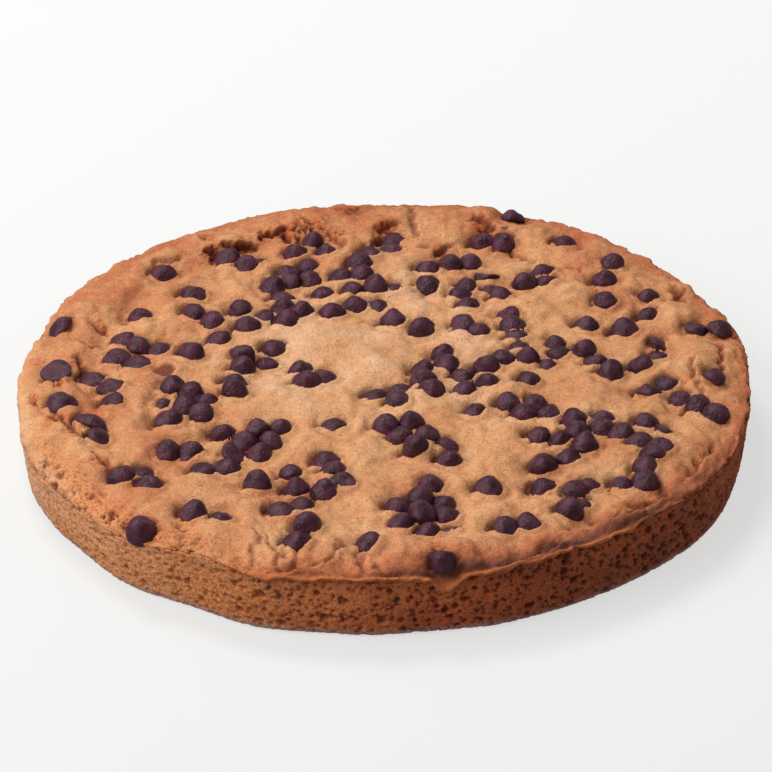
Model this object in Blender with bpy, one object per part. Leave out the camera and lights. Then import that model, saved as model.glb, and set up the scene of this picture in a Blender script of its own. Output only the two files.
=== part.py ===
"""Cookie cake: one thick round of baked cookie dough with chocolate chips set into its top.

Everything is in metres, +Z up, with the origin at the middle of the flat underside.
Bearings are degrees anticlockwise from +X, seen from above, so the front of the cake is at 270.
"""

import math
from functools import partial

import bmesh
import bpy
import numpy as np
from mathutils import Matrix, Vector

MM = 0.001

# The cake
RADIUS = 140 * MM
HEIGHT = 31 * MM  # to the crest of the raised rim
FIELD_DROP = 1.6 * MM  # the middle lies this far below the crest
SHOULDER = 18 * MM  # width of the rim that rolls over to the edge
LIP_HEIGHT = 26.3 * MM  # where the rolled crust meets the wall that the tin shaped
LIP_PROUD = 0.9 * MM
WALL_DRAFT = 2.0 * MM  # the foot stands in from the edge by this
FOOT_ROUND = 2.6 * MM
# The wall under the lip, from the top down: inset from the edge, height as a share of the lip's.
WALL_PROFILE = (
    (LIP_PROUD, 0.94),
    (0.6 * WALL_DRAFT, 0.5),
    (WALL_DRAFT, FOOT_ROUND / LIP_HEIGHT),
    (WALL_DRAFT + FOOT_ROUND, 0),
)

# How far it is from a true round
LONG_WAY, LONG_BEARING = 1.3 * MM, 40
EDGE_WOBBLE, EDGE_WAVE = 0.5 * MM, 60 * MM
LIP_WOBBLE, LIP_WAVE = 0.9 * MM, 75 * MM
FULL_SIDE, FULL_SIDE_BEARING, FULL_SIDE_SPREAD = 2.0 * MM, 325, 26
LIP_NOTCH_DEPTH, LIP_NOTCH_BEARING, LIP_NOTCH_SPREAD = 5.0 * MM, 280, 3.0
LIP_RISES = ((244, 5, 1.8), (310, 6, 1.3))  # bearing, spread in degrees, height in mm

# The relief of the top
SWELL, SWELL_WAVE = 0.55 * MM, 70 * MM
LUMP, LUMP_WAVE = 0.55 * MM, 30 * MM
CREST_RISE, CREST_RADIUS, CREST_WIDTH = 1.2 * MM, 124 * MM, 9 * MM
TROUGH_DEPTH, TROUGH_RADIUS, TROUGH_WIDTH = 2.0 * MM, 113 * MM, 5 * MM
TROUGH_BEARING = 130  # the trough inside the rim is deepest on this side
WAVES = 20  # sine waves summed in one layer of relief

# The chips
CHIP_WIDTH = 10.8 * MM  # as it shows above the dough
CHIP_FOOT = 11.6 * MM  # width low down, near its foot
CHIP_TALL = 6.8 * MM
CHIP_SINK = 0.38  # share of its height below the dough
DROWNED_SINK = 0.66
CHIP_SPACING = 0.76  # least distance between two chips, in chip widths
CHIP_LEAN = 38  # degrees, the usual most
LEAN_BEARING, LEAN_SPREAD = 335, 75  # most tips lean to the right
RIM_LEAN = 55  # degrees outwards, for a chip right at the edge
HANG_LEAN = 60  # degrees more, for the chip that hangs over the dip in the lip
SCATTER = 0.08  # in chip widths
CHIP_SEED = 11

# Chips that lie by themselves: bearing, distance from the middle in mm.
LONE_CHIPS = (
    (164, 132), (139, 116), (155, 105), (168, 76), (181, 125), (191, 124), (204, 88),
    (216, 74), (245, 43), (231, 139), (268, 120), (279, 133), (283, 81), (295, 92),
    (323, 45), (66, 37), (111, 67), (54, 126), (67, 135), (25, 88), (19, 100),
    (358, 127), (354, 56), (306, 101), (84, 40), (240, 92),
)
# Chips that baked together, each group strung along a zigzag: the bearing and distance of its
# middle, the number of chips, and the zigzag's heading in degrees, length and breadth in chip widths.
CHIP_GROUPS = (
    # left and back
    (122, 104, 3, 5, 1.2, 0.4),
    (145, 91, 2, 95, 1.4, 0),
    (148, 70, 4, 105, 1.6, 1.0),
    (171, 98, 5, 340, 1.6, 1.2),
    (186, 106, 3, 110, 1.6, 0.4),
    (201, 115, 2, 115, 1.0, 0),
    (196, 77, 6, 145, 1.8, 0.8),
    (181, 55, 4, 85, 2.8, 0),
    (161, 45, 2, 70, 0.8, 0),
    (107, 99, 4, 125, 1.4, 1.0),
    (120, 80, 3, 270, 2.2, 0.2),
    (115, 80, 2, 30, 0.4, 0),
    (131, 59, 4, 45, 0.8, 0.6),
    (89, 99, 3, 60, 1.6, 0.4),
    (98, 77, 3, 40, 1.0, 0.6),
    (93, 64, 3, 0, 1.2, 0),
    (102, 52, 3, 200, 1.8, 0.4),
    # left and front
    (217, 94, 2, 175, 0.8, 0),
    (220, 116, 3, 150, 1.0, 0.6),
    (227, 68, 6, 65, 2.2, 0.8),
    (228, 93, 2, 20, 0.8, 0),
    (238, 120, 2, 160, 0.8, 0),
    (256, 74, 3, 110, 1.8, 0),
    (250, 85, 3, 315, 1.6, 0.4),
    (251, 102, 2, 30, 1.0, 0),
    (256, 118, 2, 75, 1.0, 0),
    # the middle
    (187, 28, 3, 335, 1.0, 0.6),
    (25, 27, 2, 105, 0.8, 0),
    (340, 17, 3, 275, 1.6, 0.2),
    (283, 19, 3, 30, 1.0, 0.8),
    (354, 36, 4, 90, 1.8, 0.8),
    (283, 47, 5, 120, 2.0, 0.8),
    (293, 63, 2, 90, 0.8, 0),
    (43, 49, 2, 150, 0.8, 0),
    # right and back
    (76, 76, 2, 90, 1.4, 0),
    (70, 93, 2, 10, 0.8, 0),
    (62, 67, 3, 270, 1.4, 0.4),
    (58, 80, 3, 285, 1.4, 0.4),
    (67, 114, 2, 165, 0.8, 0),
    (49, 96, 3, 50, 1.2, 0.8),
    (38, 114, 3, 260, 2.6, 0.2),
    (26, 117, 2, 90, 1.2, 0),
    (14, 131, 2, 0, 0.6, 0),
    (30, 61, 4, 105, 2.2, 0),
    (13, 68, 3, 80, 1.2, 0.2),
    (12, 53, 2, 175, 0.8, 0),
    (6, 83, 3, 120, 1.6, 0),
    (7, 107, 3, 65, 1.8, 0.4),
    # right and front
    (276, 102, 5, 275, 2.0, 0.8),
    (283, 103, 3, 95, 1.6, 0),
    (335, 62, 4, 0, 1.4, 0.6),
    (333, 87, 4, 85, 0.8, 1.0),
    (324, 79, 2, 170, 0.6, 0),
    (318, 92, 3, 40, 1.8, 0.2),
    (336, 109, 5, 150, 1.2, 1.2),
    (326, 119, 2, 70, 1.0, 0),
    (354, 106, 2, 25, 0.8, 0),
    (348, 122, 3, 135, 1.4, 0),
    (309, 115, 4, 80, 1.8, 0.4),
    (319, 122, 2, 5, 0.8, 0),
    (294, 119, 2, 30, 0.6, 0),
)
# Chips that are nearly drowned, and chips that lie with the foot up: bearing and distance in mm.
DROWNED_CHIPS = (
    (268, 118), (325, 45), (20, 61), (87, 66), (118, 106), (60, 78), (153, 68),
    (195, 80), (7, 109), (310, 122), (283, 112), (46, 95), (240, 117),
)
UPSIDE_DOWN_CHIPS = ((342, 115), (259, 80), (226, 80), (62, 89), (13, 109), (180, 124))

# Fineness of the faceted solid
TOP_CELLS = 22  # squares across the top, so the edge has four times as many sides
SHOULDER_ROWS = 4
CHIP_SIDES = 6
FUSE_SOLVER = "EXACT"


def polar(bearing, radius):
    """Places in plan at bearings in radians and distances from the middle."""
    return np.stack([radius * np.cos(bearing), radius * np.sin(bearing)], axis=-1)


def bearing_and_radius(plan):
    return np.arctan2(plan[..., 1], plan[..., 0]), np.hypot(plan[..., 0], plan[..., 1])


def waves(plan, wavelength, seed):
    """Smooth relief of about unit size: sine waves of nearly one length, in random directions."""
    rng = np.random.default_rng(seed)
    headings = rng.uniform(0, 2 * math.pi, WAVES)
    ways = polar(headings, 2 * math.pi / wavelength * rng.uniform(0.7, 1.4, WAVES))
    starts = rng.uniform(0, 2 * math.pi, WAVES)
    return np.sin(plan @ ways.T + starts).sum(axis=-1) * math.sqrt(2 / WAVES)


def bump(value, middle, width):
    """One where value is at the middle, falling smoothly to nothing about two widths away."""
    return np.exp(-(((value - middle) / width) ** 2))


def degrees_past(bearing, start):
    """Degrees, from -180 to 180, by which a bearing in radians is past one in degrees."""
    return (np.degrees(bearing) - start + 180) % 360 - 180


def edge_radius(bearing):
    """The cake's half width at a bearing: a slightly long round, with a wobble and one full side."""
    return (
        RADIUS
        + LONG_WAY * np.cos(2 * (bearing - math.radians(LONG_BEARING)))
        + EDGE_WOBBLE * waves(polar(bearing, RADIUS), EDGE_WAVE, 1)
        + FULL_SIDE * bump(degrees_past(bearing, FULL_SIDE_BEARING), 0, FULL_SIDE_SPREAD)
    )


def lip_height(bearing):
    """Height of the crust's lower edge, which wanders, and dips under the chip that hangs over it."""
    height = LIP_HEIGHT + LIP_WOBBLE * waves(polar(bearing, RADIUS), LIP_WAVE, 2)
    height = height - LIP_NOTCH_DEPTH * bump(degrees_past(bearing, LIP_NOTCH_BEARING), 0, LIP_NOTCH_SPREAD)
    for at, spread, rise in LIP_RISES:
        height = height + rise * MM * bump(degrees_past(bearing, at), 0, spread)
    return height


def share_over(plan):
    """How far over the shoulder each place is: nothing on the flat of the top, 1 at the edge."""
    bearing, radius = bearing_and_radius(plan)
    return np.clip((radius - edge_radius(bearing) + SHOULDER) / SHOULDER, 0, 1)


def crust_height(plan):
    """Height of the top crust over places in plan, from the middle out to the lip."""
    bearing, radius = bearing_and_radius(plan)
    deep_side = 0.55 + 0.45 * np.cos(bearing - math.radians(TROUGH_BEARING))
    crown = (
        HEIGHT
        - FIELD_DROP
        + CREST_RISE * bump(radius, CREST_RADIUS, CREST_WIDTH)
        - TROUGH_DEPTH * deep_side * bump(radius, TROUGH_RADIUS, TROUGH_WIDTH)
        + SWELL * waves(plan, SWELL_WAVE, 3)
        + LUMP * waves(plan, LUMP_WAVE, 4)
    )
    lip = lip_height(bearing)
    return lip + (crown - lip) * np.sqrt(1 - share_over(plan) ** 2)


def crust_normal(place):
    step = 2 * MM
    around = crust_height(place + step * np.array([(-1, 0), (1, 0), (0, -1), (0, 1)]))
    return Vector((around[0] - around[1], around[2] - around[3], 2 * step)).normalized()


def zigzag(chips, heading, length, breadth):
    """Where a group's chips lie about its middle, in chip widths."""
    ahead = polar(math.radians(heading), 1)
    aside = polar(math.radians(heading + 90), breadth / 2)
    sides = (-1.0) ** np.arange(chips)
    return np.outer(np.linspace(-length / 2, length / 2, chips), ahead) + np.outer(sides, aside)


def chip_plan(rng):
    """The plan positions of all chips, pushed apart until none crowd each other."""
    spots = [polar(math.radians(bearing), radius * MM) for bearing, radius in LONE_CHIPS]
    for bearing, radius, chips, *string in CHIP_GROUPS:
        offsets = zigzag(chips, *string) + rng.uniform(-SCATTER, SCATTER, (chips, 2))
        spots += list(polar(math.radians(bearing), radius * MM) + offsets * CHIP_WIDTH)
    spots = np.array(spots)
    least = CHIP_SPACING * CHIP_WIDTH
    for _ in range(30):
        apart = spots[:, None] - spots
        gap = np.linalg.norm(apart, axis=2) + np.eye(len(spots)) * least
        push = np.clip(least - gap, 0, None) / gap
        spots += 0.4 * (push[:, :, None] * apart).sum(axis=1)
    return spots


def nearest_chips(plan, spots):
    """The numbers of the chips that lie nearest to the spots, given as bearings and distances in mm."""
    places = [polar(math.radians(bearing), radius * MM) for bearing, radius in spots]
    return [int(np.argmin(np.linalg.norm(plan - place, axis=1))) for place in places]


def chip_matrices():
    """One matrix for each chip: its seat in the crust, the way it leans, how deep it sank and its size."""
    rng = np.random.default_rng(CHIP_SEED)
    plan = chip_plan(rng)
    drowned = nearest_chips(plan, DROWNED_CHIPS)
    upside_down = nearest_chips(plan, UPSIDE_DOWN_CHIPS)
    matrices = []
    for chip, (place, height, over) in enumerate(zip(plan, crust_height(plan), share_over(plan))):
        tangent = Vector((-place[1], place[0], 0)).normalized()
        hang = bump(degrees_past(math.atan2(place[1], place[0]), LIP_NOTCH_BEARING), 0, LIP_NOTCH_SPREAD)
        roll = RIM_LEAN * over**1.5 + HANG_LEAN * hang * (over > 0)
        roll_out = Matrix.Rotation(math.radians(roll), 4, tangent)
        tip_bearing = math.radians(rng.normal(LEAN_BEARING, LEAN_SPREAD))
        lean_axis = Vector((*polar(tip_bearing + math.pi / 2, 1), 0))
        lean = Matrix.Rotation(math.radians(rng.uniform(0.1, 1) * CHIP_LEAN), 4, lean_axis)
        on_crust = Vector((0, 0, 1)).rotation_difference(crust_normal(place)).to_matrix().to_4x4()
        sink = CHIP_SINK * rng.uniform(0.7, 1.3)
        turn = Matrix.Rotation(rng.uniform(0, 2 * math.pi), 4, "Z")
        wide, tall = rng.uniform(0.94, 1.06), rng.uniform(0.85, 1.15)
        if chip in drowned:
            sink = DROWNED_SINK
        if chip in upside_down:
            sink = -CHIP_SINK / 2
            turn = Matrix.Rotation(math.pi, 4, "X")
        seat = Matrix.Translation((*place, height))
        drop = Matrix.Translation((0, 0, -sink * CHIP_TALL))
        size = Matrix.Diagonal((wide, wide, tall, 1))
        matrices.append(seat @ roll_out @ lean @ on_crust @ drop @ turn @ size)
    return matrices


def material(name, colour, roughness):
    made = bpy.data.materials.new(name)
    made.use_nodes = True
    shader = made.node_tree.nodes["Principled BSDF"]
    shader.inputs["Base Color"].default_value = (*colour, 1)
    shader.inputs["Roughness"].default_value = roughness
    return made


def add_object(name, bm, made_of):
    mesh = bpy.data.meshes.new(name)
    bm.to_mesh(mesh)
    bm.free()
    mesh.materials.append(made_of)
    obj = bpy.data.objects.new(name, mesh)
    bpy.context.scene.collection.objects.link(obj)
    return obj


def shoulder_place(bearing, turn):
    """A place on the rim at a bearing: turn goes from 0 at its inside to a quarter turn at the edge."""
    plan = polar(bearing, edge_radius(bearing) - SHOULDER * (1 - math.sin(turn)))
    return (*plan, crust_height(plan))


def wall_place(bearing, inset, height):
    return (*polar(bearing, edge_radius(bearing) - inset), height * lip_height(bearing))


def cake_body():
    """A grid rounded into a disc for the top, its border extruded ring by ring down to the underside."""
    bm = bmesh.new()
    bmesh.ops.create_grid(bm, x_segments=TOP_CELLS, y_segments=TOP_CELLS, size=1)
    for vert in bm.verts:
        # Equal steps along the square's sides become equal angles round the disc.
        u, v = (math.sqrt(2) * math.sin(math.pi / 4 * at) for at in vert.co.xy)
        disc = np.array([u * math.sqrt(1 - v**2 / 2), v * math.sqrt(1 - u**2 / 2)])
        plan = disc * (edge_radius(math.atan2(disc[1], disc[0])) - SHOULDER)
        vert.co = (*plan, crust_height(plan))
    turns = np.linspace(0, math.pi / 2, SHOULDER_ROWS + 1)[1:]
    rings = [partial(shoulder_place, turn=turn) for turn in turns]
    rings += [partial(wall_place, inset=inset, height=height) for inset, height in WALL_PROFILE]
    border = [edge for edge in bm.edges if edge.is_boundary]
    for place_at in rings:
        made = bmesh.ops.extrude_edge_only(bm, edges=border)["geom"]
        border = [item for item in made if isinstance(item, bmesh.types.BMEdge) and item.is_boundary]
        for vert in (item for item in made if isinstance(item, bmesh.types.BMVert)):
            vert.co = place_at(math.atan2(vert.co.y, vert.co.x))
    bmesh.ops.contextual_create(bm, geom=border)
    bmesh.ops.recalc_face_normals(bm, faces=bm.faces)
    return bm


def chip_solid():
    """A squat drop of chocolate, its half profile spun round: flat foot, widest low down, blunt tip."""
    half = CHIP_FOOT / 2
    profile = [(0, 0), (half, 0.14 * CHIP_TALL), (0.76 * half, 0.66 * CHIP_TALL), (0, CHIP_TALL)]
    bm = bmesh.new()
    verts = [bm.verts.new((out, 0, up)) for out, up in profile]
    edges = [bm.edges.new(pair) for pair in zip(verts, verts[1:])]
    bmesh.ops.spin(
        bm,
        geom=verts + edges,
        axis=(0, 0, 1),
        cent=(0, 0, 0),
        angle=2 * math.pi,
        steps=CHIP_SIDES,
        use_merge=True,
    )
    bmesh.ops.remove_doubles(bm, verts=bm.verts, dist=0.01 * MM)
    bmesh.ops.recalc_face_normals(bm, faces=bm.faces)
    return bm


def shells_of(bm):
    """The separate shells of a mesh, as sets of vertices, the smallest first."""
    left, shells = set(bm.verts), []
    while left:
        shell, reached = set(), [left.pop()]
        while reached:
            vert = reached.pop()
            shell.add(vert)
            neighbours = {edge.other_vert(vert) for edge in vert.link_edges} & left
            left -= neighbours
            reached += neighbours
        shells.append(shell)
    return sorted(shells, key=len)


def fuse(body, pieces):
    """One Boolean union of a body with many small pieces, which are then removed.

    Only the largest shell stays, so that a sealed hollow is filled and a loose scrap dropped.
    """
    holder = bpy.data.collections.new("to fuse")
    for piece in pieces:
        holder.objects.link(piece)
    union = body.modifiers.new("fuse", "BOOLEAN")
    union.operation = "UNION"
    union.operand_type = "COLLECTION"
    union.collection = holder
    union.solver = FUSE_SOLVER
    union.material_mode = "TRANSFER"
    fused = bpy.data.meshes.new_from_object(body.evaluated_get(bpy.context.evaluated_depsgraph_get()))
    body.modifiers.clear()
    body.data = fused
    for piece in pieces:
        bpy.data.objects.remove(piece)
    bpy.data.collections.remove(holder)

    bm = bmesh.new()
    bm.from_mesh(fused)
    loose = [vert for shell in shells_of(bm)[:-1] for vert in shell]
    bmesh.ops.delete(bm, geom=loose, context="VERTS")
    bmesh.ops.triangulate(bm, faces=bm.faces)
    bm.to_mesh(fused)
    bm.free()


def main():
    for obj in list(bpy.data.objects):
        bpy.data.objects.remove(obj)
    dough = material("baked dough", (0.55, 0.26, 0.11), 0.85)
    chocolate = material("chocolate", (0.05, 0.025, 0.02), 0.5)
    cake = add_object("cookie_cake", cake_body(), dough)
    chip = add_object("chip", chip_solid(), chocolate)
    chips = []
    for matrix in chip_matrices():
        chips.append(chip.copy())
        chips[-1].matrix_world = matrix
    bpy.data.objects.remove(chip)
    fuse(cake, chips)
    cake.data.shade_smooth()
    cake.data.set_sharp_from_angle(angle=math.radians(40))
    print(len(chips), "chips,", len(cake.data.polygons), "triangles")


main()
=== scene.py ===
# %% [markdown]
# # A chocolate chip cookie cake
# The real thing is one thick round of cookie dough, baked in a shallow tin and turned out. Its
# top rose into soft lumps round the chips, its rim rolled over into a thin lip, and its wall was
# pressed against the tin, which left it flat and full of small holes.
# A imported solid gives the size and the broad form, and this script makes the surface that one
# sees: a fine crust, a wall of open crumb, and 209 chips that the dough closes round.
# Everything is in metres, +Z up, with the origin at the middle of the flat underside. Bearings are
# degrees anticlockwise from +X, seen from above, so the front of the cake is at 270.

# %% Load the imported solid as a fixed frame
import math

import bmesh
import bpy
import numpy as np
from mathutils import Matrix, Vector, noise
from mathutils.bvhtree import BVHTree


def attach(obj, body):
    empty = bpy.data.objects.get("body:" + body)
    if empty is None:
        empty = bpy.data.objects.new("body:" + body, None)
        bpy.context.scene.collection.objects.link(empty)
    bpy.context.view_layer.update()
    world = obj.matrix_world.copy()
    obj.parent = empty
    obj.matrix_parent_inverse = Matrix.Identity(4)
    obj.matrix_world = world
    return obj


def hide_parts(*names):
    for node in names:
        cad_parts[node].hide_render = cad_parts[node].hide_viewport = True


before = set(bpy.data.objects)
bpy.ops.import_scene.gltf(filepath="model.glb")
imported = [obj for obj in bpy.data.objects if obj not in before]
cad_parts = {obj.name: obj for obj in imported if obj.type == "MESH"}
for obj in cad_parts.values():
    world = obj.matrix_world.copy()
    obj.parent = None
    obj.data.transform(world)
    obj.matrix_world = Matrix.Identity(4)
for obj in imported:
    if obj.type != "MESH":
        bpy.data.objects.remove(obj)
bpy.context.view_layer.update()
MM = 0.001

# %% [markdown]
# ## The camera
# It stands 1.6 m off with a long lens, as one photographs food, so the round stays a true ellipse
# and the far rim isn't much smaller than the near one.

# %% Place the camera
AIM = Vector((1.2, 10.1, 16.9)) * MM
CAMERA_DISTANCE = 1.6
CAMERA_ELEVATION = math.radians(31)
LENS = 192.5  # mm, on the usual 36 mm wide sensor

camera = bpy.data.objects.new("camera", bpy.data.cameras.new("camera"))
bpy.context.scene.collection.objects.link(camera)
bpy.context.scene.camera = camera
camera.data.lens = LENS
back = Vector((0, -math.cos(CAMERA_ELEVATION), math.sin(CAMERA_ELEVATION)))
camera.location = AIM + CAMERA_DISTANCE * back
camera.rotation_euler = back.to_track_quat("Z", "Y").to_euler()
print("the camera is", round(camera.location.z / MM), "mm above the floor")

# %% [markdown]
# ## The broad form
# A cake from a tin is nearly round, but its edge wobbles, one side is fuller, and the lip where
# the crust meets the wall wanders up and down. At the left the crust also runs further down the
# wall, over a rounder shoulder. Sums of a few sine waves in random but seeded directions give the
# slow, smooth unevenness, and a bump function places what stands in one spot, such as the dip in
# the lip under the chip that hangs over it.

# %% Sizes of the cake
RADIUS = 140 * MM
HEIGHT = 31 * MM  # to the crest of the raised rim
FIELD_DROP = 1.6 * MM  # the middle lies this far below the crest
SHOULDER = 18 * MM  # width of the rim that rolls over to the edge
LIP_HEIGHT = 26.3 * MM
LIP_PROUD = 0.9 * MM
WALL_DRAFT = 2.0 * MM  # the foot stands in from the edge by this
FOOT_ROUND = 2.6 * MM

LONG_WAY, LONG_BEARING = 1.3 * MM, 40
EDGE_WOBBLE, EDGE_WAVE = 0.5 * MM, 60 * MM
LIP_WOBBLE, LIP_WAVE = 0.9 * MM, 75 * MM
FULL_SIDE, FULL_SIDE_BEARING, FULL_SIDE_SPREAD = 2.7 * MM, 331, 26
LIP_NOTCH_DEPTH, LIP_NOTCH_BEARING, LIP_NOTCH_SPREAD = 5.0 * MM, 279.3, 2.4
LIP_RISES = ((244, 5, 1.8), (310, 6, 1.3))  # bearing, spread in degrees, height in mm
SOFT_SIDE_DROP, SOFT_SIDE_BEARING, SOFT_SIDE_SPREAD = 7 * MM, 200, 34
SOFT_SIDE_ROUNDNESS = 0.8  # how much fuller than an ellipse the shoulder is there

SWELL, SWELL_WAVE = 0.55 * MM, 70 * MM
LUMP, LUMP_WAVE = 0.55 * MM, 30 * MM
CREST_RISE, CREST_RADIUS, CREST_WIDTH = 1.2 * MM, 124 * MM, 9 * MM
TROUGH_DEPTH, TROUGH_RADIUS, TROUGH_WIDTH = 2.0 * MM, 113 * MM, 5 * MM
TROUGH_BEARING = 130  # the trough inside the rim is deepest on this side
WAVES = 20  # sine waves summed in one layer of relief
print("the cake is to be", round(2 * RADIUS / MM), "mm wide and", round(HEIGHT / MM), "mm high")


# %% Small functions for smooth unevenness
def polar(bearing, radius):
    """Places in plan at bearings in radians and distances from the middle."""
    return np.stack([radius * np.cos(bearing), radius * np.sin(bearing)], axis=-1)


def bearing_and_radius(plan):
    """The other way round: bearings in radians and distances from the middle of places in plan."""
    return np.arctan2(plan[..., 1], plan[..., 0]), np.hypot(plan[..., 0], plan[..., 1])


def waves(plan, wavelength, seed):
    """Smooth relief of about unit size: sine waves of nearly one length, in random directions."""
    rng = np.random.default_rng(seed)
    headings = rng.uniform(0, 2 * math.pi, WAVES)
    ways = polar(headings, 2 * math.pi / wavelength * rng.uniform(0.7, 1.4, WAVES))
    starts = rng.uniform(0, 2 * math.pi, WAVES)
    return np.sin(plan @ ways.T + starts).sum(axis=-1) * math.sqrt(2 / WAVES)


def bump(value, middle, width):
    """One where value is at the middle, falling smoothly to nothing about two widths away."""
    return np.exp(-(((value - middle) / width) ** 2))


def ramp(value, start, stop):
    """Rises smoothly from 0 where value is at start to 1 where it is at stop."""
    share = np.clip((value - start) / (stop - start), 0, 1)
    return share * share * (3 - 2 * share)


def degrees_past(bearing, start):
    """Degrees, from -180 to 180, by which a bearing in radians is past one in degrees."""
    return (np.degrees(bearing) - start + 180) % 360 - 180


def towards(bearing, middle, spread):
    """One at a bearing in degrees, falling to nothing about two spreads to either side of it."""
    return bump(degrees_past(bearing, middle), 0, spread)


print("halfway up a ramp is", ramp(0.5, 0, 1), "and one width from a bump is", round(bump(1, 0, 1), 2))


# %% The form of the edge and the crust
def edge_radius(bearing):
    """The cake's half width at a bearing: a slightly long round, with a wobble and one full side."""
    return (
        RADIUS
        + LONG_WAY * np.cos(2 * (bearing - math.radians(LONG_BEARING)))
        + EDGE_WOBBLE * waves(polar(bearing, RADIUS), EDGE_WAVE, 1)
        + FULL_SIDE * towards(bearing, FULL_SIDE_BEARING, FULL_SIDE_SPREAD)
    )


def soft_side(bearing):
    """Where the crust runs down over a rounder shoulder."""
    return towards(bearing, SOFT_SIDE_BEARING, SOFT_SIDE_SPREAD)


def lip_height(bearing):
    """Height of the crust's lower edge, which wanders, and dips under the chip that hangs over it."""
    height = LIP_HEIGHT + LIP_WOBBLE * waves(polar(bearing, RADIUS), LIP_WAVE, 2)
    height = height - SOFT_SIDE_DROP * soft_side(bearing)
    height = height - LIP_NOTCH_DEPTH * towards(bearing, LIP_NOTCH_BEARING, LIP_NOTCH_SPREAD)
    for at, spread, rise in LIP_RISES:
        height = height + rise * MM * towards(bearing, at, spread)
    return height


def share_over(plan):
    """How far over the shoulder each place is: nothing on the flat of the top, 1 at the edge."""
    bearing, radius = bearing_and_radius(plan)
    return np.clip((radius - edge_radius(bearing) + SHOULDER) / SHOULDER, 0, 1)


def crust_height(plan):
    """Height of the top crust over places in plan, from the middle out to the lip."""
    bearing, radius = bearing_and_radius(plan)
    deep_side = 0.55 + 0.45 * np.cos(bearing - math.radians(TROUGH_BEARING))
    crown = (
        HEIGHT
        - FIELD_DROP
        + CREST_RISE * bump(radius, CREST_RADIUS, CREST_WIDTH)
        - TROUGH_DEPTH * deep_side * bump(radius, TROUGH_RADIUS, TROUGH_WIDTH)
        + SWELL * waves(plan, SWELL_WAVE, 3)
        + LUMP * waves(plan, LUMP_WAVE, 4)
    )
    lip = lip_height(bearing)
    power = 2 + SOFT_SIDE_ROUNDNESS * soft_side(bearing)  # a power of 2 is an ellipse
    return lip + (crown - lip) * (1 - share_over(plan) ** power) ** (1 / power)


def crust_normal(place):
    """The direction straight out of the crust's form at a place in plan."""
    step = 2 * MM
    around = crust_height(place + step * np.array([(-1, 0), (1, 0), (0, -1), (0, 1)]))
    return Vector((around[0] - around[1], around[2] - around[3], 2 * step)).normalized()


front = math.radians(270)
print("at the front the edge is", round(edge_radius(front) / MM, 1), "mm from the middle")

# %% [markdown]
# ## The unrolled crust
# The top and its rolled rim are easiest to think of as a flat round of pastry that was laid over the
# form: 122 mm of it lie flat, and the next 22 mm roll over the shoulder down to the lip. Relief such as
# lumps and tears is worked out on this flat round, in true distances, and then raised along
# the form's normals, so that it isn't squeezed where the rim turns down.

# %% The flat round and where it lies on the form
FIELD = RADIUS - SHOULDER
ROLL = 22 * MM  # length of crust from the flat of the top over the shoulder to the lip
# The lip's thin edge and hidden underside: crust past the lip, distance in from the edge, height.
TUCK = ((0, 0, 0), (0.5, 0.35, -0.7), (1.5, 2.2, -0.5), (2.5, 12, -6))


def laid_on_form(flat):
    """Places in space of places on the flat round."""
    bearing, along = bearing_and_radius(flat)
    turn = np.clip((along - FIELD) / ROLL, 0, 1) * math.pi / 2
    inner = edge_radius(bearing) - SHOULDER
    radius = np.minimum(along / FIELD, 1) * inner + SHOULDER * np.sin(turn)
    height = crust_height(polar(bearing, radius))
    past, inset, rise = np.array(TUCK).T * MM
    beyond = np.maximum(along - FIELD - ROLL, 0)
    tucked = polar(bearing, radius - np.interp(beyond, past, inset))
    return np.column_stack([tucked, height + np.interp(beyond, past, rise)])


def unrolled(plan):
    """Where places seen in plan lie on the flat round."""
    bearing, radius = bearing_and_radius(plan)
    over = share_over(plan)
    on_field = radius / (edge_radius(bearing) - SHOULDER) * FIELD
    on_shoulder = FIELD + ROLL * np.arcsin(over) * 2 / math.pi
    return polar(bearing, np.where(over > 0, on_shoulder, on_field))


print("the crust is", round(2 * (FIELD + ROLL) / MM), "mm across when it lies flat")

# %% [markdown]
# Risen dough is lumpy all over, without a rule. Modelling each lump by hand would be slow and look
# arranged, and Blender's own noise is smooth, random and the same on every run. One helper reads it
# at many places at once. A size says how large its lumps are, and a seed shifts it, so that two
# layers never line up.

# %% Noise and lumps
LOBE_RISE, LOBE_SIZE = 2.9 * MM, 15 * MM  # soft lumps of risen dough
KNOB_RISE, KNOB_SIZE = 1.3 * MM, 7 * MM  # smaller ones on them
CRUST_DROP = 0.7 * MM  # the lumps' creases lie this far below the form
SEED_SHIFT = Vector((11.7, 5.3, 7.9))  # how far apart two layers of noise are read


def noise_at(places, size, seed, octaves=1):
    """Noise from about -1 to 1 at each place, in two or three dimensions."""
    away = seed * SEED_SHIFT
    points = np.zeros((len(places), 3))
    points[:, : places.shape[1]] = places / size
    return np.array([noise.fractal(Vector(point) + away, 1, 2, octaves) for point in points.tolist()])


def lumps(flat):
    """Lumps of risen dough that meet in soft creases: noise folded over at zero."""
    lobes = np.sqrt(noise_at(flat, LOBE_SIZE, 1) ** 2 + 0.01)
    knobs = np.sqrt(noise_at(flat, KNOB_SIZE, 2, 2) ** 2 + 0.004)
    return LOBE_RISE * (lobes - 0.4) + KNOB_RISE * (knobs - 0.25) - CRUST_DROP


across = np.column_stack([np.linspace(-FIELD, FIELD, 500), np.zeros(500)])
print("across the middle the lumps are", round(np.ptp(lumps(across)) / MM, 1), "mm high")

# %% [markdown]
# ## The chips
# Baking chips are squat drops, about 11 mm across, that keep their form in the oven. Most of them
# baked together in strings and clusters, which a real scatter never does evenly, so the layout is
# a short table: where each lone chip lies, and for each group its middle, its number and the
# zigzag along which it is strung. Small seeded shifts and a few rounds of pushing apart keep chips from
# lying in each other, and each one leans, sinks and turns by its own seeded amount. Near the rim at
# the left they melted lower and wider.

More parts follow.
